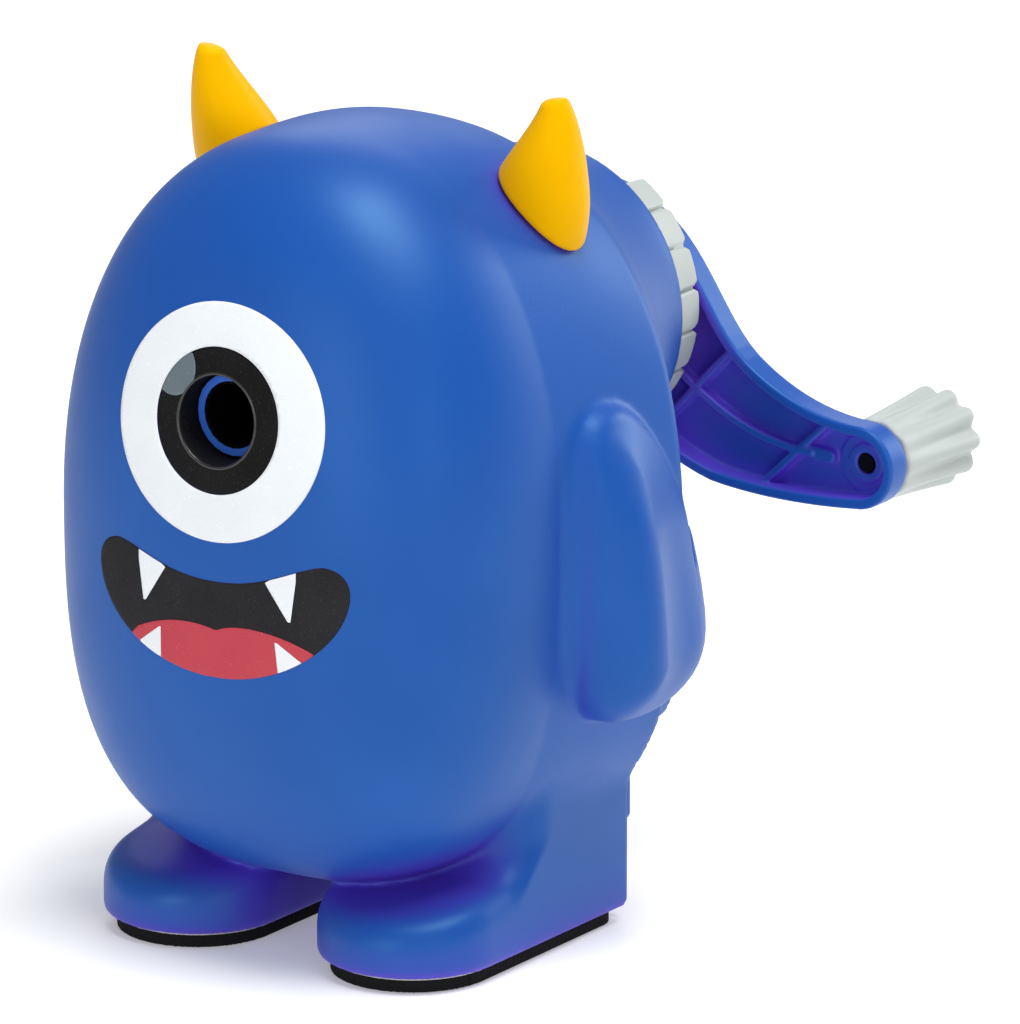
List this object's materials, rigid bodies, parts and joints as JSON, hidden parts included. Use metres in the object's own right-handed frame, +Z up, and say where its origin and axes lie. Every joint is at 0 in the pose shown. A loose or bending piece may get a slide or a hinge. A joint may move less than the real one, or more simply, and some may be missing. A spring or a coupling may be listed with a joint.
{
  "type": "crank pencil sharpener",
  "caption": "Hand-cranked desktop pencil sharpener shaped like a one-eyed toy monster, with a rear crank, a planetary helical cutter and a shavings drawer.",
  "frame": {"origin": "Middle of the footprint of the whole object, on the table under the foot pads.", "axes": "+X towards the side that the crank points to, -Y the face and pencil hole, +Z up."},
  "size_m": [0.1007, 0.1129, 0.1199],
  "materials": {
    "blue_abs": "moulded satin ABS, fine spark texture",
    "yellow_abs": "moulded satin ABS",
    "grey_abs": "moulded satin ABS",
    "black_abs": "moulded satin ABS",
    "white_acetal": "moulded acetal, natural",
    "cutter_steel": "ground tool steel",
    "screw_steel": "zinc-plated steel",
    "foam": "die-cut foam rubber, self-adhesive"
  },
  "bodies": {
    "root": {"front_shell": "blue_abs", "rear_cover": "blue_abs", "left_horn": "yellow_abs", "right_horn": "yellow_abs", "pencil_bezel": "black_abs", "pencil_guide_tube": "blue_abs", "left_foot_pad": "foam", "right_foot_pad": "foam", "cover_screw_1": "screw_steel", "cover_screw_2": "screw_steel", "cover_screw_3": "screw_steel", "cover_screw_4": "screw_steel"},
    "drawer": {"shavings_drawer": "blue_abs"},
    "cartridge": {"lock_ring": "grey_abs", "ring_gear": "white_acetal", "crank_bush": "white_acetal"},
    "crank": {"cutter_carrier": "white_acetal", "cutter_axle": "cutter_steel", "thrust_washer": "screw_steel", "crank_arm": "blue_abs", "crank_screw": "screw_steel", "knob_screw": "screw_steel"},
    "cutter": {"helical_cutter": "cutter_steel", "cutter_pinion": "white_acetal"},
    "grip": {"knob": "grey_abs"}
  },
  "joints": [
    {"name": "drawer_slide", "type": "slide", "parent": "root", "child": "drawer", "axis": [0, 1, 0], "range_m": [0, 0.022]},
    {"name": "ring_twist", "type": "hinge", "parent": "root", "child": "cartridge", "pos_m": [-0.0024, 0.0257, 0.0793], "axis": [0, 1, 0], "range_deg": [0, 30]},
    {"name": "crank_turn", "type": "hinge", "parent": "cartridge", "child": "crank", "pos_m": [-0.0024, 0.0287, 0.0793], "axis": [0, 1, 0], "continuous": true},
    {"name": "cutter_spin", "type": "hinge", "parent": "crank", "child": "cutter", "pos_m": [-0.0024, -0.0013, 0.08398], "axis": [0, 0.9833, -0.1822], "continuous": true},
    {"name": "knob_spin", "type": "hinge", "parent": "crank", "child": "grip", "pos_m": [0.0433, 0.0387, 0.0595], "axis": [0, 1, 0], "continuous": true}
  ],
  "couplings": [
    {"joint": "cutter_spin", "follows": "crank_turn", "ratio": -1.5}
  ]
}
